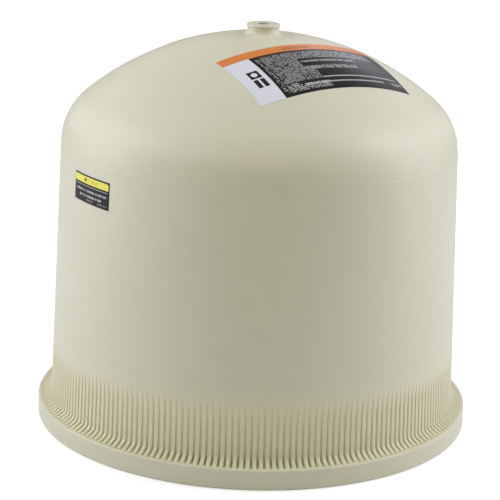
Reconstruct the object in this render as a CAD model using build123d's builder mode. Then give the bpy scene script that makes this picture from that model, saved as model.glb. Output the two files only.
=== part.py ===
from build123d import *
import os
from math import asin, atan2, cos, hypot, pi, radians, sin

# Upper half (lid) of a four-cartridge pool filter tank: a deep domed shell
# moulded in glass-filled polypropylene, with a clamp flange round its open
# mouth, a ring of fine gusset ribs above the flange and a small open port on
# top of the dome. Millimetres, +Z up, origin at the centre of the mouth plane.
# -Y is the front; azimuths are counted from the front towards +X.

# ---- Driving dimensions ------------------------------------------------------
# Clamp flange
flange_radius = 290.7          # outer radius of the flange
flange_height = 26.4           # height of the flange band
flange_bottom_edge = 2.0       # rounding of the lower outer edge
flange_top_edge = 2.5          # rounding of the upper outer edge

# Outer wall: a straight drafted line through two points
wall_low_z, wall_low_r = 64.66, 272.0
seam_z, seam_r = 379.8, 262.15         # where the wall ends and the dome begins
parting_z, parting_height = 376.8, 1.1 # parting line of the mould, a small bevelled step
seam_step = 0.45                       # the wall above the parting line is this much smaller

# Dome: three tangent arcs from the top of the wall to the port
knuckle_lean = 2.5             # the dome already leans in this much where it begins
knuckle_radius, knuckle_arc = 78.8, 44.5
shoulder_radius, shoulder_arc = 201.0, 1.84
crown_radius = 366.9

# Inside of the shell
dome_wall = 7.0                # dome thickness
mouth_radius = 262.5           # inner radius at the mouth
mouth_chamfer = 1.5

# Gusset ribs, left standing between narrow slots: a slanted edge from the
# flange top up to the wall
gusset_foot_r, gusset_top_z = 284.0, 32.8
gusset_top_fillet = 8.0
slot_count = 214
slot_width = 2.8
slot_azimuth = 0.61            # azimuth of one slot's centre
slot_floor_r = 270.0           # where the slot meets the wall at the flange
slot_outer_r = 285.0           # outer end of the slot on the flange top
slot_sink = 1.8                # slot floor below the flange top
slot_depths = ((40.0, 2.8), (84.0, 1.8), (107.0, 0.0))   # height, depth in the wall

# Seal groove in the underside of the flange, and the seal in it
seal_inner_d = 546.1           # 21.5 in tank seal
seal_section = 9.5             # 3/8 in section
groove_clearance = 0.5         # each side of the seal
groove_depth = 12.2

# Port on top of the dome
port_rim_r = 21.9
port_neck_r = 20.9
port_top_z = 533.6
port_lip = 3.4                 # height of the rim's lip
port_edge = 1.6                # rounding of the rim
port_bore_r = 8.0
port_chamfer = 0.6             # lead-in of the bore
port_flare = 6.5               # fillet from the neck onto the dome

# Labels: printed plastic film, lying on the shell
label_film = 0.30
adhesive_gap = 0.05
dome_label_front_azimuth = 36.8
dome_label_rear_azimuth = 191.5
dome_label_centre_r = 117.2    # plan distance of the label's centre from the axis
dome_label_width, dome_label_height = 228.0, 112.3
dome_label_tilt = -2.9
side_label_azimuth, side_label_z = -52.75, 341.5    # centre
side_label_width, side_label_height = 78.6, 35.4
side_label_tilt = -0.7         # stuck on slightly askew

os.makedirs("parts", exist_ok=True)

# ---- Derived geometry --------------------------------------------------------
draft = (seam_r - wall_low_r) / (seam_z - wall_low_z)


def wall_r(z):
    """Outer wall radius at height z, on the drafted line."""
    return wall_low_r + draft * (z - wall_low_z)


knuckle_start = (seam_r - seam_step, seam_z + 0.2)
knuckle_turn = atan2(1.0, draft) + radians(knuckle_lean)   # direction of travel at the start of the dome


def dome_arcs(offset=0.0):
    """The dome's arcs, moved inwards by offset, as (centre r, centre z, radius, from, to).

    A point of an arc is centre + radius * (sin t, -cos t), where t is the
    direction of travel. A parallel surface keeps the centres.
    """
    arcs, t, (r, z) = [], knuckle_turn, knuckle_start
    for radius, sweep_angle in ((knuckle_radius, knuckle_arc), (shoulder_radius, shoulder_arc), (crown_radius, None)):
        cr, cz = r - radius * sin(t), z + radius * cos(t)
        end = pi - asin(-cr / (radius - offset)) if sweep_angle is None else t + radians(sweep_angle)
        arcs.append((cr, cz, radius - offset, t, end))
        t, r, z = end, cr + radius * sin(end), cz - radius * cos(end)
    return arcs


def arc_point(arc, t):
    return (arc[0] + arc[2] * sin(t), arc[1] - arc[2] * cos(t))


def crown_t(arc, r):
    """Direction of travel where an arc is at distance r from the axis."""
    return pi - asin((r - arc[0]) / arc[2])


def crown_z(r, offset=0.0):
    """Height of the crown at distance r from the axis."""
    arc = dome_arcs(offset)[-1]
    return arc_point(arc, crown_t(arc, r))[1]


outer = dome_arcs()
inner = dome_arcs(dome_wall)
parting_low = parting_z - parting_height / 2
parting_high = parting_z + parting_height / 2
gusset_foot, gusset_top = (gusset_foot_r, flange_height), (wall_r(gusset_top_z), gusset_top_z)
groove_inner_r = seal_inner_d / 2 - groove_clearance
groove_outer_r = seal_inner_d / 2 + seal_section + groove_clearance

# ---- Lid shell ---------------------------------------------------------------
# One slot's cutter: a thin upright plate in the radial plane. It cuts a little
# way into the flange top and fades out of the wall above.
slot_floor = flange_height - slot_sink
with BuildPart() as slot_plate:
    with BuildSketch(Plane.XZ):
        with BuildLine():
            Polyline(
                (slot_outer_r, slot_floor),
                (slot_floor_r + 2.0, slot_floor),
                (slot_floor_r, slot_floor + 2.0),
                *[(wall_r(z) - depth, z) for z, depth in slot_depths],
                (wall_r(slot_depths[-1][0]) + 4.0, slot_depths[-1][0]),
                (slot_outer_r, slot_depths[0][0] + 8.0),
                close=True,
            )
        make_face()
    extrude(amount=slot_width / 2, both=True)

with BuildPart() as lid_shell:
    # Solid outline of flange, wall, dome and port, turned about the axis
    with BuildSketch(Plane.XZ) as outline:
        with BuildLine():
            Polyline(
                (0, 0),
                (flange_radius, 0),
                (flange_radius, flange_height),
                gusset_foot,
                gusset_top,
                (wall_r(parting_low), parting_low),
                (wall_r(parting_high) - seam_step, parting_high),
                knuckle_start,
            )
            for arc in outer[:2]:
                ThreePointArc(arc_point(arc, arc[3]), arc_point(arc, (arc[3] + arc[4]) / 2), arc_point(arc, arc[4]))
            crown = outer[2]
            t_neck = crown_t(crown, port_neck_r)
            ThreePointArc(arc_point(crown, crown[3]), arc_point(crown, (crown[3] + t_neck) / 2), arc_point(crown, t_neck))
            Polyline(
                arc_point(crown, t_neck),
                (port_neck_r, port_top_z - port_lip - (port_rim_r - port_neck_r)),
                (port_rim_r, port_top_z - port_lip),
                (port_rim_r, port_top_z),
                (0, port_top_z),
                (0, 0),
            )
        make_face()
        fillet(outline.vertices().sort_by_distance(gusset_top)[0], gusset_top_fillet)
        fillet(outline.vertices().sort_by_distance((flange_radius, 0))[0], flange_bottom_edge)
        fillet(outline.vertices().sort_by_distance((flange_radius, flange_height))[0], flange_top_edge)
        fillet(outline.vertices().sort_by_distance(arc_point(crown, t_neck))[0], port_flare)
        fillet(outline.vertices().sort_by_distance((port_rim_r, port_top_z))[0], port_edge)
        fillet(outline.vertices().sort_by_distance((port_rim_r, port_top_z - port_lip))[0], port_edge)
    revolve(axis=Axis.Z)
    # Hollow inside, open at the mouth
    with BuildSketch(Plane.XZ):
        with BuildLine():
            Polyline(
                (0, -1),
                (mouth_radius + mouth_chamfer + 1, -1),
                (mouth_radius, mouth_chamfer),
                arc_point(inner[0], inner[0][3]),
            )
            for arc in inner:
                ThreePointArc(arc_point(arc, arc[3]), arc_point(arc, (arc[3] + arc[4]) / 2), arc_point(arc, arc[4]))
            Line(arc_point(inner[2], inner[2][4]), (0, -1))
        make_face()
    revolve(axis=Axis.Z, mode=Mode.SUBTRACT)
    # Port bore through the top, with a small chamfer at its mouth
    with BuildSketch(Plane.XY.offset(port_top_z + 1)):
        Circle(port_bore_r)
    extrude(amount=-40, mode=Mode.SUBTRACT)
    mouth_edge = lid_shell.edges().filter_by(GeomType.CIRCLE).filter_by(lambda e: abs(e.radius - port_bore_r) < 1e-3).sort_by(Axis.Z)[-1]
    chamfer(mouth_edge, port_chamfer)
    # Seal groove in the underside of the flange
    with BuildSketch(Plane.XY):
        Circle(groove_outer_r)
        Circle(groove_inner_r, mode=Mode.SUBTRACT)
    extrude(amount=groove_depth, mode=Mode.SUBTRACT)
    # Slots between the gusset ribs, all round
    with PolarLocations(0, slot_count, start_angle=slot_azimuth - 90):
        add(slot_plate.part, mode=Mode.SUBTRACT)
lid_shell.part.label = "lid_shell"
export_step(lid_shell.part, "parts/lid_shell.step")

# ---- Tank seal ---------------------------------------------------------------
# Round-section ring, seated against the bottom of the groove
seal_centre_r = seal_inner_d / 2 + seal_section / 2
with BuildPart() as tank_o_ring:
    with BuildSketch(Plane.XZ):
        with Locations((seal_centre_r, groove_depth - seal_section / 2 - 0.05)):
            Circle(seal_section / 2)
    revolve(axis=Axis.Z)
tank_o_ring.part.label = "tank_o_ring"
export_step(tank_o_ring.part, "parts/tank_o_ring.step")

# ---- Dome labels -------------------------------------------------------------
# Film skin over the crown, cut by a rectangle looking along the label's own
# normal. The front one and the rear one are the same part at two azimuths.
label_in = dome_arcs(-adhesive_gap)[2]
label_out = dome_arcs(-adhesive_gap - label_film)[2]
skin_near_r = dome_label_centre_r - dome_label_height / 2 - 15
skin_far_r = hypot(dome_label_width / 2, dome_label_centre_r + dome_label_height / 2)
lean = asin((dome_label_centre_r - outer[2][0]) / crown_radius)    # of the label's normal from the axis
for label_name, turn in (("dome_label_front", dome_label_front_azimuth), ("dome_label_rear", dome_label_rear_azimuth)):
    az = radians(turn)
    flat = Plane(
        origin=(dome_label_centre_r * sin(az), -dome_label_centre_r * cos(az), crown_z(dome_label_centre_r)),
        x_dir=(cos(az), sin(az), 0),
        z_dir=(sin(lean) * sin(az), -sin(lean) * cos(az), cos(lean)),
    )
    with BuildPart() as dome_label:
        with BuildSketch(Plane.XZ):
            with BuildLine():
                t0, t1 = crown_t(label_in, skin_far_r), crown_t(label_in, skin_near_r)
                a0, a1 = crown_t(label_out, skin_far_r), crown_t(label_out, skin_near_r)
                ThreePointArc(arc_point(label_in, t0), arc_point(label_in, (t0 + t1) / 2), arc_point(label_in, t1))
                Line(arc_point(label_in, t1), arc_point(label_out, a1))
                ThreePointArc(arc_point(label_out, a1), arc_point(label_out, (a0 + a1) / 2), arc_point(label_out, a0))
                Line(arc_point(label_out, a0), arc_point(label_in, t0))
            make_face()
        revolve(axis=Axis.Z)
        with BuildSketch(flat.offset(15)):
            Rectangle(dome_label_width, dome_label_height, rotation=dome_label_tilt)
        extrude(amount=-60, mode=Mode.INTERSECT)
    dome_label.part.label = label_name
    export_step(dome_label.part, "parts/" + label_name + ".step")

# ---- Side label --------------------------------------------------------------
# Film skin round the wall, cut by a rectangle looking outwards
side_az = radians(side_label_azimuth)
outwards = Plane(origin=(0, 0, side_label_z), x_dir=(cos(side_az), sin(side_az), 0), z_dir=(sin(side_az), -cos(side_az), 0))
with BuildPart() as side_label:
    with BuildSketch(Plane.XZ):
        with BuildLine():
            lo, hi = side_label_z - 30, side_label_z + 30
            g, f = adhesive_gap, adhesive_gap + label_film
            Polyline(
                (wall_r(lo) + g, lo),
                (wall_r(lo) + f, lo),
                (wall_r(hi) + f, hi),
                (wall_r(hi) + g, hi),
                close=True,
            )
        make_face()
    revolve(axis=Axis.Z)
    with BuildSketch(outwards.offset(150)):
        Rectangle(side_label_width, side_label_height, rotation=side_label_tilt)
    extrude(amount=150, mode=Mode.INTERSECT)
side_label.part.label = "side_label"
export_step(side_label.part, "parts/side_label.step")
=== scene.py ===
import math

import bpy
import numpy as np
from mathutils import Matrix, Vector


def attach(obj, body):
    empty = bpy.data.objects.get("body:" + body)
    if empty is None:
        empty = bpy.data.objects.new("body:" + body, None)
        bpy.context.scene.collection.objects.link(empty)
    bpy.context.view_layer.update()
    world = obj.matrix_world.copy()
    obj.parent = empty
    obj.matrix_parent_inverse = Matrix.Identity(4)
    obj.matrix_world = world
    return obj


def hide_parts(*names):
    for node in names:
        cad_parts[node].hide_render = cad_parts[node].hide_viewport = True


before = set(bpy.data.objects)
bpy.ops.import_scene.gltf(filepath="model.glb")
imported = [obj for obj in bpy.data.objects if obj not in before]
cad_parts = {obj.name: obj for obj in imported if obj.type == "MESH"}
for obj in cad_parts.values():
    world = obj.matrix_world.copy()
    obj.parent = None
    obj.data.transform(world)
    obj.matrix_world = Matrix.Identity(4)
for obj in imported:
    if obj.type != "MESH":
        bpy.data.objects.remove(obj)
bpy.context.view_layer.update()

# =============================================================================
# Dimensions, in metres, the same as the CAD part's
# =============================================================================
MM = 0.001
FLANGE_R = 290.7 * MM
FLANGE_H = 26.4 * MM
EDGE_LOW = 2.0 * MM
EDGE_TOP = 2.5 * MM
WALL_Z, WALL_R = 64.66 * MM, 272.0 * MM
SEAM_Z, SEAM_R = 379.8 * MM, 262.15 * MM
SEAM_STEP = 0.45 * MM
PARTING_Z, PARTING_H = 376.8 * MM, 1.1 * MM
GUSSET_R, GUSSET_Z = 284.0 * MM, 32.8 * MM
GUSSET_FOOT, GUSSET_TOP = 1.0 * MM, 8.0 * MM
LEAN = 2.5
ARCS = ((78.8 * MM, 44.5), (201.0 * MM, 1.84), (366.9 * MM, None))
DOME_T = 7.0 * MM
MOUTH_R = 262.5 * MM
MOUTH_C = 1.5 * MM
SLOTS = 214
SLOT_AZ = math.radians(0.61)
SLOT_FLOOR_R = 270.0 * MM
SLOT_OUT_R = 285.0 * MM
SLOT_SINK = 1.8 * MM
SLOT_DEPTHS = ((40.0, 2.8), (84.0, 1.8), (107.0, 0.0))
SLOT_FADE_Z = 107.0 * MM
GROOVE_IN, GROOVE_OUT, GROOVE_D = 272.55 * MM, 283.05 * MM, 12.2 * MM
PORT_RIM_R, PORT_NECK_R, PORT_TOP = 21.9 * MM, 20.9 * MM, 533.6 * MM
PORT_LIP, PORT_BORE_R, PORT_FLARE, PORT_EDGE, PORT_LEAD = 3.4 * MM, 8.0 * MM, 6.5 * MM, 1.6 * MM, 0.6 * MM
FILM_IN, FILM_OUT = 0.05 * MM, 0.35 * MM
DOME_LABEL_R, DOME_LABEL_W, DOME_LABEL_H, DOME_LABEL_TILT = 117.2 * MM, 228.0 * MM, 112.3 * MM, math.radians(-2.9)
SIDE_LABEL_AZ, SIDE_LABEL_Z, SIDE_LABEL_W, SIDE_LABEL_H, SIDE_LABEL_TILT = math.radians(-52.75), 341.5 * MM, 78.6 * MM, 35.4 * MM, math.radians(-0.7)

DRAFT = (SEAM_R - WALL_R) / (SEAM_Z - WALL_Z)


def wall_r(z):
    return WALL_R + DRAFT * (z - WALL_Z)


def dome_arcs(offset=0.0):
    """Dome arcs as (centre r, centre z, radius, t0, t1); a point is centre + radius * (sin t, -cos t)."""
    arcs, t, r, z = [], math.atan2(1.0, DRAFT) + math.radians(LEAN), SEAM_R - SEAM_STEP, SEAM_Z + 0.2 * MM
    for radius, sweep in ARCS:
        cr, cz = r - radius * math.sin(t), z + radius * math.cos(t)
        end = math.pi - math.asin(-cr / (radius - offset)) if sweep is None else t + math.radians(sweep)
        arcs.append((cr, cz, radius - offset, t, end))
        t = end
        r, z = cr + radius * math.sin(t), cz - radius * math.cos(t)
    return arcs


def arc_pt(arc, t):
    return (arc[0] + arc[2] * math.sin(t), arc[1] - arc[2] * math.cos(t))


def arc_t(arc, r):
    return math.pi - math.asin((r - arc[0]) / arc[2])


CROWN = dome_arcs()[2]


def crown_z(r, out=0.0):
    """Height of the crown surface, moved outwards by out, at distance r from the axis."""
    return CROWN[1] + math.sqrt((CROWN[2] + out) ** 2 - (r - CROWN[0]) ** 2)


# =============================================================================
# Mesh helpers
# =============================================================================
def face_weighted_normals(mesh):
    """Smooth normals that lean to the larger faces, so flats stay flat beside small roundings."""
    nv, nf = len(mesh.vertices), len(mesh.polygons)
    co = np.empty(nv * 3)
    mesh.vertices.foreach_get("co", co)
    co = co.reshape(-1, 3)
    fn = np.empty(nf * 3)
    mesh.polygons.foreach_get("normal", fn)
    fn = fn.reshape(-1, 3)
    area = np.empty(nf)
    mesh.polygons.foreach_get("area", area)
    start = np.empty(nf, int)
    total = np.empty(nf, int)
    mesh.polygons.foreach_get("loop_start", start)
    mesh.polygons.foreach_get("loop_total", total)
    lv = np.empty(len(mesh.loops), int)
    mesh.loops.foreach_get("vertex_index", lv)
    face_of = np.repeat(np.arange(nf), total)
    normal = np.zeros((nv, 3))
    w = (fn * area[:, None])[face_of]
    for k in range(3):
        normal[:, k] = np.bincount(lv, weights=w[:, k], minlength=nv)
    length = np.linalg.norm(normal, axis=1)
    normal /= np.where(length > 0, length, 1.0)[:, None]
    mesh.normals_split_custom_set_from_vertices([tuple(n) for n in normal])


def make_object(name, verts, faces, smooth=True, weighted=True):
    mesh = bpy.data.meshes.new(name)
    mesh.from_pydata([tuple(v) for v in verts], [], faces)
    mesh.validate(verbose=False)
    mesh.update()
    if smooth:
        mesh.polygons.foreach_set("use_smooth", [True] * len(mesh.polygons))
    if weighted:
        face_weighted_normals(mesh)
    obj = bpy.data.objects.new(name, mesh)
    bpy.context.scene.collection.objects.link(obj)
    return obj


class Lathe:
    """Rings of points about the axis, joined ring to ring; neighbouring rings may differ in count."""

    def __init__(self):
        self.verts, self.faces, self.rings = [], [], []

    def ring(self, pts):
        start = len(self.verts)
        self.verts.extend(pts)
        self.rings.append((start, len(pts)))
        return self.rings[-1]

    def circle(self, r, z, count):
        a = SLOT_AZ - math.pi / SLOTS + np.arange(count) * (2 * math.pi / count)
        return self.ring([(r * math.sin(t), -r * math.cos(t), z) for t in a])

    def join(self, lower, upper):
        """Joins two rings, outside facing away from the axis when upper is further up the outer profile."""
        (s0, n0), (s1, n1) = lower, upper
        if n0 == n1:
            for i in range(n0):
                j = (i + 1) % n0
                self.faces.append((s0 + i, s0 + j, s1 + j, s1 + i))
        elif n0 > n1:
            k = n0 // n1
            for c in range(n1):
                d = (c + 1) % n1
                f = [s0 + (c * k + q) % n0 for q in range(k + 1)]
                mid = k // 2
                for q in range(mid):
                    self.faces.append((f[q], f[q + 1], s1 + c))
                self.faces.append((f[mid], s1 + d, s1 + c))
                for q in range(mid, k):
                    self.faces.append((f[q], f[q + 1], s1 + d))
        else:
            k = n1 // n0
            for c in range(n0):
                d = (c + 1) % n0
                f = [s1 + (c * k + q) % n1 for q in range(k + 1)]
                mid = k // 2
                for q in range(mid):
                    self.faces.append((s0 + c, f[q + 1], f[q]))
                self.faces.append((s0 + c, s0 + d, f[mid]))
                for q in range(mid, k):
                    self.faces.append((s0 + d, f[q + 1], f[q]))


def corner(cr, cz, radius, a0, a1, n):
    """Points of a rounding from angle a0 to a1, in degrees, in the (r, z) plane."""
    return [(cr + radius * math.cos(math.radians(a)), cz + radius * math.sin(math.radians(a))) for a in np.linspace(a0, a1, n)]


def bend(before, corner_at, after, radius, n):
    """Points of the rounding of radius at corner_at, between the straight lines to before and after."""
    c = Vector(corner_at)
    u, v = (Vector(before) - c).normalized(), (Vector(after) - c).normalized()
    half = 0.5 * u.angle(v)
    mid = c + (u + v).normalized() * (radius / math.sin(half))
    p, q = c + u * (radius / math.tan(half)) - mid, c + v * (radius / math.tan(half)) - mid
    turn = p.angle(q)
    sign = 1.0 if p.x * q.y - p.y * q.x > 0 else -1.0
    pts = []
    for a in np.linspace(0.0, sign * turn, n):
        pts.append((mid.x + p.x * math.cos(a) - p.y * math.sin(a), mid.y + p.x * math.sin(a) + p.y * math.cos(a)))
    return pts


def slot_depth(z):
    """How deep the slots between the ribs are, at height z on the wall."""
    return float(np.interp(z / MM, [d[0] for d in SLOT_DEPTHS], [d[1] for d in SLOT_DEPTHS])) * MM


# =============================================================================
# Lid shell
# =============================================================================
COARSE, SMALL = SLOTS * 2, SLOTS // 2


def build_shell():
    m = Lathe()
    rings = []

    def add(points, count):
        for r, z in points:
            rings.append(m.circle(r, z, count))

    # --- underside, from the mouth outwards, with the seal groove ---
    lip = 0.4 * MM
    add([(MOUTH_R + MOUTH_C, 0.0)], COARSE)
    add([(GROOVE_IN - lip, 0.0), (GROOVE_IN, lip)], COARSE)
    add([(GROOVE_IN, GROOVE_D - lip), (GROOVE_IN + lip, GROOVE_D)], COARSE)
    add([(GROOVE_OUT - lip, GROOVE_D), (GROOVE_OUT, GROOVE_D - lip)], COARSE)
    add([(GROOVE_OUT, lip), (GROOVE_OUT + lip, 0.0)], COARSE)
    # --- flange band ---
    add(corner(FLANGE_R - EDGE_LOW, EDGE_LOW, EDGE_LOW, -90, 0, 6), COARSE)
    add([(FLANGE_R, 0.5 * FLANGE_H)], COARSE)
    add(corner(FLANGE_R - EDGE_TOP, FLANGE_H - EDGE_TOP, EDGE_TOP, 0, 90, 7), COARSE)

    # --- gusset ribs: every ring follows the crest, and dips to the slot floor between ribs ---
    frac = np.array([-0.5, -0.24, -0.185, -0.13, 0.0, 0.13, 0.185, 0.24])
    slot_w = np.array([0.0, 0.0, 0.10, 0.93, 1.0, 0.93, 0.10, 0.0])
    wave_w = 0.5 * (1 + np.cos(2 * math.pi * frac))
    pitch = 2 * math.pi / SLOTS

    def rib_ring(crest, floor, wave):
        """One ring: crest and floor are (r, z); wave 0 is a square slot, 1 a soft flute."""
        w = slot_w * (1 - wave) + wave_w * wave
        pts = []
        for s in range(SLOTS):
            for f, wt in zip(frac, w):
                a = SLOT_AZ + (s + f) * pitch
                r = crest[0] + (floor[0] - crest[0]) * wt
                z = crest[1] + (floor[1] - crest[1]) * wt
                pts.append((r * math.sin(a), -r * math.cos(a), z))
        rings.append(m.ring(pts))

    # crest: flange top, a slanted straight edge up to the wall, and the wall
    foot, top = (GUSSET_R, FLANGE_H), (wall_r(GUSSET_Z), GUSSET_Z)
    above = (wall_r(60 * MM), 60 * MM)
    crest_line = bend((FLANGE_R, FLANGE_H), foot, top, GUSSET_FOOT, 3)
    top_bend = bend(foot, top, above, GUSSET_TOP, 6)
    crest_line += [(crest_line[-1][0] + (top_bend[0][0] - crest_line[-1][0]) * u, crest_line[-1][1] + (top_bend[0][1] - crest_line[-1][1]) * u) for u in (0.12, 0.3, 0.5, 0.7, 0.85)]
    crest_line += top_bend
    # slot floor: inwards over the flange, round the corner and up, 3 mm behind the wall
    floor_z = FLANGE_H - SLOT_SINK
    path = [(SLOT_OUT_R - 0.15 * MM, floor_z), (SLOT_FLOOR_R + 2.0 * MM, floor_z)]
    path += [(SLOT_FLOOR_R + 2.0 * MM * (1 - math.sin(math.radians(a))), floor_z + 2.0 * MM * (1 - math.cos(math.radians(a)))) for a in (30, 60, 90)]
    path += [(wall_r(38.5 * MM) - slot_depth(38.5 * MM), 38.5 * MM)]
    steps = np.cumsum([0.0] + [math.hypot(b[0] - a[0], b[1] - a[1]) for a, b in zip(path, path[1:])])

    def on_floor(u):
        d = u * steps[-1]
        return (float(np.interp(d, steps, [q[0] for q in path])), float(np.interp(d, steps, [q[1] for q in path])))

    along = np.cumsum([0.0] + [math.hypot(b[0] - a[0], b[1] - a[1]) for a, b in zip(crest_line, crest_line[1:])])
    rib_ring((SLOT_OUT_R, FLANGE_H), (SLOT_OUT_R, FLANGE_H), 0)
    rib_ring((SLOT_OUT_R - 0.15 * MM, FLANGE_H), (SLOT_OUT_R - 0.15 * MM, floor_z), 0)
    for crest, d in zip(crest_line, along):
        rib_ring(crest, on_floor(0.04 + 0.96 * d / along[-1]), 0)
    for z, wave in (
        (39.5, 0.00), (42.0, 0.0), (46.0, 0.0), (50.0, 0.0), (55.0, 0.0), (60.0, 0.05),
        (66.0, 0.10), (72.0, 0.14), (78.0, 0.20), (84.0, 0.28), (90.0, 0.38), (96.0, 0.52), (102.0, 0.75),
    ):
        z = z * MM
        rib_ring((wall_r(z), z), (wall_r(z) - slot_depth(z), z), wave)
    rib_ring((wall_r(SLOT_FADE_Z), SLOT_FADE_Z), (wall_r(SLOT_FADE_Z), SLOT_FADE_Z), 1)

    # --- wall, parting line, dome ---
    add([(wall_r(z * MM), z * MM) for z in (112, 150, 190, 230, 270, 310, 345, 368, 375)], COARSE)
    low, high = PARTING_Z - 0.5 * PARTING_H, PARTING_Z + 0.5 * PARTING_H
    add([(wall_r(low), low), (wall_r(high) - SEAM_STEP, high), (wall_r(high + MM) - SEAM_STEP, high + MM)], COARSE)
    knuckle, shoulder, crown = dome_arcs()
    add([arc_pt(knuckle, t) for t in np.linspace(knuckle[3], knuckle[4], 19)], COARSE)
    add([arc_pt(shoulder, t) for t in np.linspace(shoulder[3], shoulder[4], 3)[1:]], COARSE)
    t_in, t_out = arc_t(crown, 60 * MM), crown[3]
    add([arc_pt(crown, t) for t in np.linspace(t_out, t_in, 17)[1:]], COARSE)
    # flare from the dome onto the neck: a rounding tangent to both
    neck_c = PORT_NECK_R + PORT_FLARE
    zc = CROWN[1] + math.sqrt((CROWN[2] + PORT_FLARE) ** 2 - (neck_c - CROWN[0]) ** 2)
    lean = math.degrees(math.atan2(zc - CROWN[1], neck_c - CROWN[0]))
    touch = arc_t(crown, CROWN[0] + CROWN[2] * math.cos(math.radians(lean)))
    add([arc_pt(crown, t) for t in np.linspace(t_in, touch, 6)[1:-1]], SMALL)
    add(corner(neck_c, zc, PORT_FLARE, lean + 180 - 360, -180, 7), SMALL)
    # --- port: neck, lip, flat rim, bore ---
    lip_z = PORT_TOP - PORT_LIP
    step = PORT_RIM_R - PORT_NECK_R
    add([(PORT_NECK_R, lip_z - step - 0.7 * MM), (PORT_NECK_R, lip_z - step - 0.1 * MM)], SMALL)
    add([(PORT_NECK_R + 0.1 * MM, lip_z - step + 0.1 * MM)], SMALL)
    add(bend((PORT_NECK_R, lip_z - step), (PORT_RIM_R, lip_z), (PORT_RIM_R, PORT_TOP), PORT_EDGE, 4), SMALL)
    add(corner(PORT_RIM_R - PORT_EDGE, PORT_TOP - PORT_EDGE, PORT_EDGE, 0, 90, 6), SMALL)
    add([(PORT_BORE_R + PORT_LEAD + 0.2 * MM, PORT_TOP), (PORT_BORE_R + PORT_LEAD - 0.1 * MM, PORT_TOP - 0.1 * MM), (PORT_BORE_R + 0.1 * MM, PORT_TOP - PORT_LEAD), (PORT_BORE_R, PORT_TOP - PORT_LEAD - 0.2 * MM)], SMALL)
    k_in, s_in, c_in = dome_arcs(DOME_T)
    bore_t = arc_t(c_in, PORT_BORE_R)
    bore_z = arc_pt(c_in, bore_t)[1]
    add([(PORT_BORE_R, 0.5 * (PORT_TOP + bore_z)), (PORT_BORE_R, bore_z + 0.4 * MM), (PORT_BORE_R + 0.4 * MM, bore_z)], SMALL)
    # --- inside of the dome and wall, down to the mouth ---
    ti = arc_t(c_in, 60 * MM)
    add([arc_pt(c_in, t) for t in np.linspace(arc_t(c_in, PORT_BORE_R + 3 * MM), ti, 4)], SMALL)
    add([arc_pt(c_in, t) for t in np.linspace(ti, c_in[3], 12)[1:]], SLOTS)
    add([arc_pt(s_in, s_in[3])], SLOTS)
    add([arc_pt(k_in, t) for t in np.linspace(k_in[4], k_in[3], 12)[1:]], SLOTS)
    top = arc_pt(k_in, k_in[3])
    for u in (0.8, 0.6, 0.4, 0.2, 0.05):
        add([(MOUTH_R + (top[0] - MOUTH_R) * u, MOUTH_C + (top[1] - MOUTH_C) * u)], SLOTS)
    add([(MOUTH_R, MOUTH_C + 0.3 * MM), (MOUTH_R + 0.15 * MM, MOUTH_C)], SLOTS)
    for a, b in zip(rings, rings[1:]):
        m.join(a, b)
    m.join(rings[-1], rings[0])
    return m


# =============================================================================
# Labels: film sheets lying on the shell, with their own UV map
# =============================================================================
def film_sheet(name, nu, nv, point):
    """A closed thin sheet. point(s, t, out) gives a place on the shell, s and t from 0 to 1, moved out by out."""
    verts, uvs = [], []
    for out in (FILM_OUT, FILM_IN):
        for j in range(nv + 1):
            for i in range(nu + 1):
                verts.append(point(i / nu, j / nv, out))
                uvs.append((i / nu, j / nv))
    w = nu + 1
    base = w * (nv + 1)
    faces = []
    for j in range(nv):
        for i in range(nu):
            a = j * w + i
            faces.append((a, a + 1, a + 1 + w, a + w))
            faces.append((base + a, base + a + w, base + a + 1 + w, base + a + 1))
    for i in range(nu):
        faces.append((i, base + i, base + i + 1, i + 1))
        a = nv * w + i
        faces.append((a, a + 1, base + a + 1, base + a))
    for j in range(nv):
        a = j * w
        faces.append((a, a + w, base + a + w, base + a))
        a = j * w + nu
        faces.append((a, base + a, base + a + w, a + w))
    mesh = bpy.data.meshes.new(name)
    mesh.from_pydata(verts, [], faces)
    mesh.update()
    layer = mesh.uv_layers.new(name="print")
    for loop in mesh.loops:
        layer.data[loop.index].uv = uvs[loop.vertex_index]
    count = 2 * nu * nv
    mesh.polygons.foreach_set("use_smooth", [k < count for k in range(len(mesh.polygons))])
    mesh.set_sharp_from_angle(angle=math.radians(40))
    obj = bpy.data.objects.new(name, mesh)
    bpy.context.scene.collection.objects.link(obj)
    return obj


def on_crown(azimuth):
    """The label is a rectangle seen along its own normal; the crown's arc has its centre just off the axis."""
    a = math.radians(azimuth)
    lean = math.asin((DOME_LABEL_R - CROWN[0]) / CROWN[2])
    normal = Vector((math.sin(lean) * math.sin(a), -math.sin(lean) * math.cos(a), math.cos(lean)))
    across = Vector((math.cos(a), math.sin(a), 0.0))
    upwards = normal.cross(across)
    c, k = math.cos(DOME_LABEL_TILT), math.sin(DOME_LABEL_TILT)
    e1, e2 = across * c + upwards * k, upwards * c - across * k
    middle = Vector((DOME_LABEL_R * math.sin(a), -DOME_LABEL_R * math.cos(a), crown_z(DOME_LABEL_R)))

    def point(s, t, out):
        flat = middle + e1 * ((s - 0.5) * DOME_LABEL_W) + e2 * ((t - 0.5) * DOME_LABEL_H)
        drop = 0.0
        for _ in range(8):
            p = flat - normal * drop
            r = math.hypot(p.x, p.y)
            drop += (p.z - crown_z(r, out)) / normal.z
        p = flat - normal * drop
        return (p.x, p.y, p.z)

    return point


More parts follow.
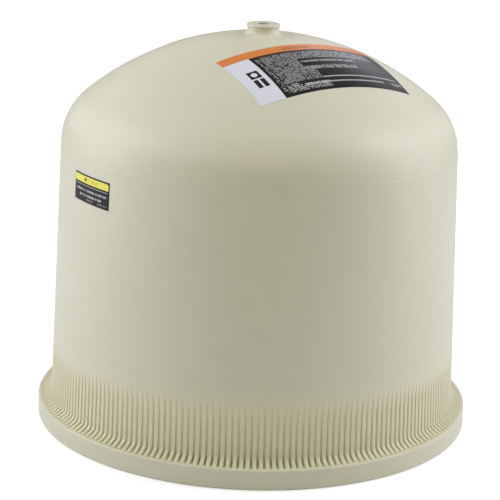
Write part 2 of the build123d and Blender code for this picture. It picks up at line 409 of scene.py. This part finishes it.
def on_wall(s, t, out):
    x, y = (s - 0.5) * SIDE_LABEL_W, (t - 0.5) * SIDE_LABEL_H
    c, k = math.cos(SIDE_LABEL_TILT), math.sin(SIDE_LABEL_TILT)
    x, y = x * c - y * k, x * k + y * c
    z = SIDE_LABEL_Z + y
    r = wall_r(z) + out
    a = SIDE_LABEL_AZ + math.asin(x / r)
    return (r * math.sin(a), -r * math.cos(a), z)


# =============================================================================
# Shader helpers
# =============================================================================
class Net:
    """Builds a material's node tree; plain numbers go straight into the sockets."""

    def __init__(self, name):
        self.mat = bpy.data.materials.new(name)
        self.mat.use_nodes = True
        self.tree = self.mat.node_tree
        self.tree.nodes.clear()
        self.out = self.tree.nodes.new("ShaderNodeOutputMaterial")
        self.bsdf = self.tree.nodes.new("ShaderNodeBsdfPrincipled")
        self.tree.links.new(self.bsdf.outputs[0], self.out.inputs["Surface"])

    def node(self, kind, **props):
        n = self.tree.nodes.new(kind)
        for k, v in props.items():
            setattr(n, k, v)
        return n

    def put(self, socket, value):
        if isinstance(value, bpy.types.NodeSocket):
            self.tree.links.new(value, socket)
        else:
            socket.default_value = value

    def math(self, op, a, b=None, c=None, clamp=False):
        n = self.node("ShaderNodeMath", operation=op, use_clamp=clamp)
        for i, v in enumerate((a, b, c)):
            if v is not None:
                self.put(n.inputs[i], v)
        return n.outputs[0]

    def mix(self, factor, a, b):
        n = self.node("ShaderNodeMix", data_type="RGBA")
        self.put(n.inputs[0], factor)
        self.put(n.inputs[6], a)
        self.put(n.inputs[7], b)
        return n.outputs[2]

    def ramp(self, value, lo, hi, to_lo=0.0, to_hi=1.0):
        n = self.node("ShaderNodeMapRange")
        for i, v in enumerate((value, lo, hi, to_lo, to_hi)):
            self.put(n.inputs[i], v)
        return n.outputs[0]

    def noise(self, vector, scale, detail=2.0, rough=0.5):
        n = self.node("ShaderNodeTexNoise")
        self.put(n.inputs["Vector"], vector)
        n.inputs["Scale"].default_value = scale
        n.inputs["Detail"].default_value = detail
        n.inputs["Roughness"].default_value = rough
        return n.outputs[0]

    def inside(self, x, lo, hi):
        """1 where lo < x < hi."""
        return self.math("MULTIPLY", self.math("GREATER_THAN", x, lo), self.math("LESS_THAN", x, hi))

    def box(self, x, y, x0, x1, y0, y1):
        return self.math("MULTIPLY", self.inside(x, x0, x1), self.inside(y, y0, y1))

    def either(self, *masks):
        m = masks[0]
        for k in masks[1:]:
            m = self.math("MAXIMUM", m, k)
        return m

    def both(self, a, b):
        return self.math("MULTIPLY", a, b)

    def less(self, a, b):
        return self.math("MULTIPLY", a, self.math("SUBTRACT", 1.0, b))

    def greek(self, x, y, pitch, fill, cell, density, seed):
        """Rows of unreadable dashes: bars of height fill * pitch, broken into random cells."""
        row = self.math("FLOOR", self.math("DIVIDE", y, pitch))
        in_row = self.math("LESS_THAN", self.math("FRACT", self.math("DIVIDE", y, pitch)), fill)
        shift = self.math("MULTIPLY", row, 0.37)
        col = self.math("FLOOR", self.math("ADD", self.math("DIVIDE", x, cell), shift))
        v = self.node("ShaderNodeCombineXYZ")
        self.put(v.inputs[0], col)
        self.put(v.inputs[1], row)
        v.inputs[2].default_value = seed
        w = self.node("ShaderNodeTexWhiteNoise", noise_dimensions="3D")
        self.put(w.inputs["Vector"], v.outputs[0])
        return self.both(in_row, self.math("LESS_THAN", w.outputs["Value"], density))


def rgb(r, g, b):
    """A colour given as sRGB 0-255, turned linear."""
    lin = [c / 255 / 12.92 if c <= 10 else ((c / 255 + 0.055) / 1.055) ** 2.4 for c in (r, g, b)]
    return (lin[0], lin[1], lin[2], 1.0)


# =============================================================================
# Materials
# =============================================================================
PLASTIC = (0.650, 0.635, 0.474, 1.0)
# painted light: the rib zone's colour, lighter and warmer than the plastic, standing in for the light on the ribs
RIB_PAINTED_LIGHT = (PLASTIC[0] * 1.06, PLASTIC[1] * 1.045, PLASTIC[2] * 0.97, 1.0)
ROUGH = 0.42


def almond_plastic():
    n = Net("almond_plastic")
    co = n.node("ShaderNodeTexCoord").outputs["Object"]
    broad = n.noise(co, 5.0, 3.0)
    mottle = n.noise(co, 42.0, 4.0, 0.6)
    speck = n.noise(co, 900.0, 2.0)
    tone = n.math("ADD", n.ramp(broad, 0.3, 0.7, -0.5, 0.5), n.ramp(mottle, 0.3, 0.7, -0.5, 0.5))
    lo = tuple(c * 0.975 for c in PLASTIC[:3]) + (1.0,)
    hi = tuple(min(1.0, c * 1.02) for c in PLASTIC[:3]) + (1.0,)
    sep = n.node("ShaderNodeSeparateXYZ")
    n.put(sep.inputs[0], co)
    colour = n.mix(n.ramp(tone, -1.0, 1.0), lo, hi)
    # painted light: the ribs are painted a touch lighter and warmer than the wall, for the light the crests catch and
    # the warm light bounced in the slots; painted shade: the port's bore is painted dark, for the shade inside the hole
    z = sep.outputs[2]
    reach = n.math("SQRT", n.math("ADD", n.math("MULTIPLY", sep.outputs[0], sep.outputs[0]), n.math("MULTIPLY", sep.outputs[1], sep.outputs[1])))
    # painted light: mask of the rib zone, which gets the lighter, warmer painted colour
    ribs = n.both(n.ramp(z, 0.130, 0.085), n.math("MULTIPLY", n.ramp(z, 0.0235, 0.0255), n.ramp(reach, 0.2872, 0.2852)))
    colour = n.mix(ribs, colour, RIB_PAINTED_LIGHT)
    # painted shade: mask of the port's bore, painted darker for the shade that falls inside the hole
    bore = n.both(n.math("GREATER_THAN", z, 0.52), n.ramp(reach, 0.0083, 0.0080))
    colour = n.mix(n.math("MULTIPLY", bore, 0.35), colour, rgb(120, 112, 88))
    n.put(n.bsdf.inputs["Base Color"], colour)
    n.put(n.bsdf.inputs["Roughness"], n.ramp(mottle, 0.3, 0.7, ROUGH - 0.03, ROUGH + 0.03))
    n.bsdf.inputs["IOR"].default_value = 1.5
    # faint upright draw lines, from the way the moulding leaves its tool
    round_axis = n.math("MULTIPLY", n.math("ARCTAN2", sep.outputs[0], sep.outputs[1]), 0.262)
    lines_at = n.node("ShaderNodeCombineXYZ")
    n.put(lines_at.inputs[0], round_axis)
    n.put(lines_at.inputs[2], n.math("MULTIPLY", sep.outputs[2], 0.02))
    lines = n.noise(lines_at.outputs[0], 180.0, 2.0)
    bump = n.node("ShaderNodeBump")
    bump.inputs["Strength"].default_value = 0.10
    bump.inputs["Distance"].default_value = 0.0002
    n.put(bump.inputs["Height"], n.math("ADD", n.math("ADD", speck, n.math("MULTIPLY", mottle, 0.6)), n.math("MULTIPLY", lines, 0.5)))
    n.put(n.bsdf.inputs["Normal"], bump.outputs[0])
    return n.mat


def seal_rubber():
    n = Net("seal_rubber")
    co = n.node("ShaderNodeTexCoord").outputs["Object"]
    grain = n.noise(co, 160.0, 3.0)
    n.put(n.bsdf.inputs["Base Color"], n.mix(grain, (0.010, 0.010, 0.011, 1), (0.024, 0.024, 0.024, 1)))
    n.put(n.bsdf.inputs["Roughness"], n.ramp(grain, 0.3, 0.7, 0.5, 0.65))
    return n.mat


def label_frame(n, width, height):
    """The label's own coordinates in millimetres: x from the left edge, y down from the top edge."""
    uv = n.node("ShaderNodeUVMap", uv_map="print")
    sep = n.node("ShaderNodeSeparateXYZ")
    n.put(sep.inputs[0], uv.outputs[0])
    x = n.math("MULTIPLY", sep.outputs[0], width)
    y = n.math("MULTIPLY", n.math("SUBTRACT", 1.0, sep.outputs[1]), height)
    return x, y


def finish_print(n, colour, spec, wear_scale=30.0):
    co = n.node("ShaderNodeTexCoord").outputs["Object"]
    haze = n.noise(co, wear_scale, 3.0)
    n.put(n.bsdf.inputs["Base Color"], colour)
    n.put(n.bsdf.inputs["Roughness"], n.ramp(haze, 0.3, 0.7, 0.30, 0.38))
    n.bsdf.inputs["IOR"].default_value = 1.5
    n.bsdf.inputs["Specular IOR Level"].default_value = spec
    return n.mat


def dome_label_film():
    n = Net("dome_label_film")
    x, y = label_frame(n, 231.5, 106.0)
    orange, brown = rgb(216, 130, 66), rgb(120, 62, 20)
    pale, ink = rgb(217, 218, 226), rgb(9, 8, 7)
    dark, grey = rgb(24, 21, 19), rgb(190, 190, 188)
    panel = n.box(x, y, 35.2, 231.6, 16.6, 106.1)
    strip = n.math("LESS_THAN", y, 16.6)
    colour = n.mix(panel, pale, dark)
    # dense small print on the left of the dark panel, with longer rows above
    left_block = n.box(x, y, 46.5, 92.0, 21.0, 84.0)
    long_rows = n.box(x, y, 92.0, 216.0, 21.0, 39.5)
    row_a = n.box(x, y, 94.0, 180.0, 44.5, 48.8)
    row_b = n.box(x, y, 92.0, 173.0, 57.5, 65.5)
    low_left = n.box(x, y, 92.0, 103.5, 64.0, 84.0)
    foot_rows = n.box(x, y, 46.5, 108.0, 86.5, 100.5)
    foot_mark = n.box(x, y, 210.0, 226.0, 90.0, 95.5)
    fine = n.greek(x, y, 2.5, 0.60, 1.5, 0.76, 3.0)
    text = n.both(n.either(left_block, long_rows, low_left), fine)
    colour = n.mix(n.math("MULTIPLY", text, 0.64), colour, grey)
    bold = n.both(n.either(row_a, row_b, foot_rows, foot_mark), n.greek(x, y, 3.1, 0.66, 1.9, 0.80, 7.0))
    colour = n.mix(n.math("MULTIPLY", bold, 0.78), colour, grey)
    # two long light rules, with a dark one between
    rules = n.either(n.box(x, y, 104.0, 223.0, 81.6, 84.0), n.box(x, y, 73.0, 196.0, 91.2, 93.6))
    colour = n.mix(n.math("MULTIPLY", rules, 0.75), colour, grey)
    colour = n.mix(n.box(x, y, 63.0, 210.0, 86.0, 89.6), colour, ink)
    # dark column with short ticks at the left of the dark panel
    column = n.box(x, y, 35.2, 45.6, 19.0, 106.1)
    colour = n.mix(column, colour, ink)
    ticks = n.both(n.box(x, y, 39.6, 44.8, 22.0, 101.0), n.greek(x, y, 3.9, 0.45, 2.6, 0.62, 11.0))
    colour = n.mix(n.math("MULTIPLY", ticks, 0.8), colour, grey)
    # two dark bars, a darker block, the dark foot and the dark line under the strip
    bars = n.either(n.box(x, y, 91.0, 165.0, 40.2, 43.8), n.box(x, y, 91.0, 200.0, 50.0, 56.0), n.box(x, y, 104.5, 112.5, 76.5, 81.4))
    colour = n.mix(bars, colour, ink)
    colour = n.mix(n.box(x, y, 35.2, 231.6, 101.2, 106.1), colour, ink)
    colour = n.mix(n.box(x, y, 35.2, 231.6, 16.6, 18.8), colour, rgb(66, 40, 22))
    # plain symbol on the pale panel: a block with a round window over two short bars
    cx, cy = 21.5, 52.0
    dx, dy = n.math("SUBTRACT", x, cx), n.math("SUBTRACT", y, cy)
    dist = n.math("SQRT", n.math("ADD", n.math("MULTIPLY", dx, dx), n.math("MULTIPLY", dy, dy)))
    block = n.box(x, y, 14.0, 29.0, 44.5, 59.5)
    block = n.less(block, n.math("LESS_THAN", dist, 4.2))
    bars = n.either(n.box(x, y, 14.0, 20.0, 62.0, 78.0), n.box(x, y, 23.0, 29.0, 62.0, 78.0))
    colour = n.mix(n.either(block, bars), colour, ink)
    # strip, with a short row of heading dashes
    colour = n.mix(strip, colour, orange)
    heading = n.both(n.box(x, y, 90.0, 134.0, 6.0, 12.5), n.math("LESS_THAN", n.math("FRACT", n.math("DIVIDE", x, 5.5)), 0.62))
    colour = n.mix(n.math("MULTIPLY", heading, 0.7), colour, brown)
    return finish_print(n, colour, 0.30)


def side_label_film():
    n = Net("side_label_film")
    x, y = label_frame(n, 78.6, 35.4)
    yellow, olive = rgb(232, 224, 96), rgb(150, 140, 50)
    ink, dark, grey, pale = rgb(16, 14, 8), rgb(24, 22, 20), rgb(178, 174, 174), rgb(190, 185, 178)
    colour = n.mix(n.math("LESS_THAN", y, 11.0), dark, yellow)
    colour = n.mix(n.math("MULTIPLY", n.box(x, y, 24.8, 30.6, 4.2, 8.6), 0.8), colour, rgb(84, 80, 10))
    soft = n.both(n.box(x, y, 34.0, 53.5, 4.6, 8.4), n.greek(x, y, 4.4, 1.1, 2.2, 0.75, 5.0))
    colour = n.mix(n.math("MULTIPLY", soft, 0.35), colour, olive)
    colour = n.mix(n.box(x, y, 0.0, 78.6, 11.0, 13.0), colour, ink)
    colour = n.mix(n.math("MULTIPLY", n.box(x, y, 3.0, 75.6, 13.2, 14.4), 0.6), colour, pale)
    rows = n.either(n.box(x, y, 5.5, 73.0, 18.6, 21.2), n.box(x, y, 14.0, 63.5, 25.0, 27.8))
    dashes = n.both(rows, n.greek(x, y, 60.0, 1.1, 1.7, 0.90, 8.0))
    colour = n.mix(n.math("MULTIPLY", dashes, 0.9), colour, grey)
    faint = n.both(n.either(n.box(x, y, 30.0, 46.0, 30.4, 32.4), n.box(x, y, 56.0, 75.0, 30.4, 32.4)), n.greek(x, y, 60.0, 1.1, 1.7, 0.8, 9.0))
    colour = n.mix(n.math("MULTIPLY", faint, 0.4), colour, grey)
    edge = n.math("SUBTRACT", 1.0, n.box(x, y, 0.6, 76.9, 2.0, 34.5))
    # the strip's upper right corner is printed round
    dx = n.math("MAXIMUM", n.math("SUBTRACT", x, 73.4), 0.0)
    dy = n.math("MAXIMUM", n.math("SUBTRACT", 5.5, y), 0.0)
    round_off = n.math("GREATER_THAN", n.math("SQRT", n.math("ADD", n.math("MULTIPLY", dx, dx), n.math("MULTIPLY", dy, dy))), 3.5)
    colour = n.mix(n.math("MAXIMUM", edge, round_off), colour, ink)
    return finish_print(n, colour, 0.20)


# =============================================================================
# The part
# =============================================================================
m = build_shell()
shell = make_object("lid_shell_moulding", m.verts, m.faces)
shell.data.materials.append(almond_plastic())
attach(shell, "root")
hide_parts("lid_shell")
print("shell triangles", sum(len(p.vertices) - 2 for p in shell.data.polygons))

# round seal, pressed up into its groove
seal_r, seal_R = 4.75 * MM, (546.1 / 2 + 4.75) * MM
seal_z = GROOVE_D - seal_r - 0.05 * MM
s = Lathe()
seal_rings = [s.circle(seal_R + seal_r * math.cos(a), seal_z + seal_r * math.sin(a), COARSE) for a in np.linspace(0, 2 * math.pi, 25)[:-1]]
for a, b in zip(seal_rings, seal_rings[1:] + seal_rings[:1]):
    s.join(a, b)
seal = make_object("tank_seal", s.verts, s.faces, weighted=False)
seal.data.materials.append(seal_rubber())
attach(seal, "root")
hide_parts("tank_o_ring")

film = dome_label_film()
for name, node, azimuth in (("dome_label_front_film", "dome_label_front", 36.8), ("dome_label_rear_film", "dome_label_rear", 191.5)):
    sheet = film_sheet(name, 96, 44, on_crown(azimuth))
    sheet.data.materials.append(film)
    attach(sheet, "root")
    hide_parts(node)
side = film_sheet("side_label_sheet", 48, 6, on_wall)
side.data.materials.append(side_label_film())
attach(side, "root")
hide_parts("side_label")

# =============================================================================
# Studio
# =============================================================================
def floor_material():
    """Pale matt floor with a soft glow of its own, as a lit studio sweep has; the glow lights nothing."""
    n = Net("studio_floor")
    co = n.node("ShaderNodeTexCoord").outputs["Object"]
    n.put(n.bsdf.inputs["Base Color"], n.mix(n.noise(co, 3.0), (0.86, 0.86, 0.86, 1), (0.88, 0.88, 0.88, 1)))
    n.bsdf.inputs["Roughness"].default_value = 0.9
    n.bsdf.inputs["Specular IOR Level"].default_value = 0.1
    dist = n.node("ShaderNodeVectorMath", operation="LENGTH")
    n.put(dist.inputs[0], co)
    sheen = n.ramp(dist.outputs["Value"], 0.30, 2.2, 0.30, 1.0)
    glow = n.node("ShaderNodeEmission")
    n.put(glow.inputs["Strength"], sheen)
    seen = n.node("ShaderNodeMixShader")
    n.put(seen.inputs[0], n.node("ShaderNodeLightPath").outputs["Is Camera Ray"])
    dark = n.node("ShaderNodeEmission")
    dark.inputs["Strength"].default_value = 0.0
    n.put(seen.inputs[1], dark.outputs[0])
    n.put(seen.inputs[2], glow.outputs[0])
    both = n.node("ShaderNodeAddShader")
    n.put(both.inputs[0], n.bsdf.outputs[0])
    n.put(both.inputs[1], seen.outputs[0])
    n.put(n.out.inputs["Surface"], both.outputs[0])
    return n.mat


bpy.ops.mesh.primitive_circle_add(vertices=96, radius=17.0, fill_type="NGON", location=(0, 0, -0.0002))
floor = bpy.context.object
floor.name = "studio_floor"
floor.data.materials.append(floor_material())

world = bpy.data.worlds.new("studio")
bpy.context.scene.world = world
world.use_nodes = True
wt = world.node_tree
wt.nodes.clear()
w_out = wt.nodes.new("ShaderNodeOutputWorld")
w_mix = wt.nodes.new("ShaderNodeMixShader")
w_path = wt.nodes.new("ShaderNodeLightPath")
w_light = wt.nodes.new("ShaderNodeBackground")
w_seen = wt.nodes.new("ShaderNodeBackground")
WORLD = 0.118
w_light.inputs["Color"].default_value = (1.0, 0.99, 0.70, 1)
w_light.inputs["Strength"].default_value = WORLD
w_seen.inputs["Color"].default_value = (1, 1, 1, 1)
w_seen.inputs["Strength"].default_value = 1.0
wt.links.new(w_path.outputs["Is Camera Ray"], w_mix.inputs[0])
wt.links.new(w_light.outputs[0], w_mix.inputs[1])
wt.links.new(w_seen.outputs[0], w_mix.inputs[2])
wt.links.new(w_mix.outputs[0], w_out.inputs["Surface"])

# faint tints: the side and back lights are cool, the light from the front and all round is warm
COOL, WARM = (0.86, 0.86, 1.0), (1.0, 0.99, 0.70)
# name, place, aimed at, width, height, power, tint
LIGHTS = (
    ("left", (-1.90, 0.00, 1.10), (0, 0, 0.30), 1.4, 1.1, 10.0, COOL),
    ("left_near", (-1.15, 0.00, 1.35), (0, 0, 0.40), 0.8, 0.8, 5.1, COOL),
    ("left_low", (-1.90, 0.00, 0.42), (0, 0, 0.30), 1.4, 0.7, 6.9, COOL),
    ("left_front_high", (-1.10, -1.00, 1.60), (0, 0, 0.40), 0.8, 0.8, 6.6, COOL),
    ("left_back", (-1.50, 1.20, 1.10), (0, 0, 0.30), 1.2, 1.3, 5.6, COOL),
    ("right", (1.90, 0.00, 1.10), (0, 0, 0.30), 1.4, 1.1, 8.8, COOL),
    ("right_near", (1.15, 0.00, 1.35), (0, 0, 0.40), 0.8, 0.8, 7.3, COOL),
    ("right_low", (1.90, 0.00, 0.42), (0, 0, 0.30), 1.4, 0.7, 7.6, COOL),
    ("right_back", (1.50, 1.20, 1.10), (0, 0, 0.30), 1.2, 1.3, 5.1, COOL),
    ("right_high", (1.40, 0.00, 1.80), (0, 0, 0.30), 1.0, 1.5, 3.0, COOL),
    ("top", (0.0, 0.10, 2.10), (0, 0, 0.30), 1.8, 1.8, 5.4, COOL),
    ("top_front", (0.0, -1.60, 1.90), (0, 0, 0.30), 1.6, 1.0, 8.7, WARM),
    ("back_right_low", (0.70, 2.30, 1.45), (0, 0, 0.45), 0.9, 0.9, 3.8, COOL),
    ("back_left_low", (-0.70, 2.30, 1.45), (0, 0, 0.45), 0.9, 0.9, 1.7, COOL),
)
for name, at, aim, sx, sy, power, tint in LIGHTS:
    data = bpy.data.lights.new(name, "AREA")
    data.shape = "RECTANGLE"
    data.size, data.size_y, data.energy = sx, sy, power
    data.color = tint
    lamp = bpy.data.objects.new(name, data)
    bpy.context.scene.collection.objects.link(lamp)
    lamp.location = at
    lamp.rotation_euler = (Vector(aim) - Vector(at)).to_track_quat("-Z", "Y").to_euler()
    lamp.visible_camera = False

# =============================================================================
# Camera
# =============================================================================
yaw, pitch, roll = -0.0031858, 0.277488, 0.0327489
ahead = Vector((math.sin(yaw) * math.cos(pitch), math.cos(yaw) * math.cos(pitch), -math.sin(pitch)))
right = Vector((math.cos(yaw), -math.sin(yaw), 0.0))
up = Vector((math.sin(yaw) * math.sin(pitch), math.cos(yaw) * math.sin(pitch), math.cos(pitch)))
cam_x = right * math.cos(roll) + up * math.sin(roll)
cam_y = up * math.cos(roll) - right * math.sin(roll)
cam_z = -ahead
place = Matrix((
    (cam_x.x, cam_y.x, cam_z.x, 0.0),
    (cam_x.y, cam_y.y, cam_z.y, -2.500),
    (cam_x.z, cam_y.z, cam_z.z, 0.93783),
    (0.0, 0.0, 0.0, 1.0),
))
cam_data = bpy.data.cameras.new("camera")
cam_data.sensor_width = 36.0
cam_data.lens = 1929.2713 * 36.0 / 500.0
cam_data.clip_end = 60.0
camera = bpy.data.objects.new("camera", cam_data)
bpy.context.scene.collection.objects.link(camera)
camera.matrix_world = place
bpy.context.scene.camera = camera

bpy.context.scene.view_settings.view_transform = "Standard"
bpy.context.scene.view_settings.look = "None"
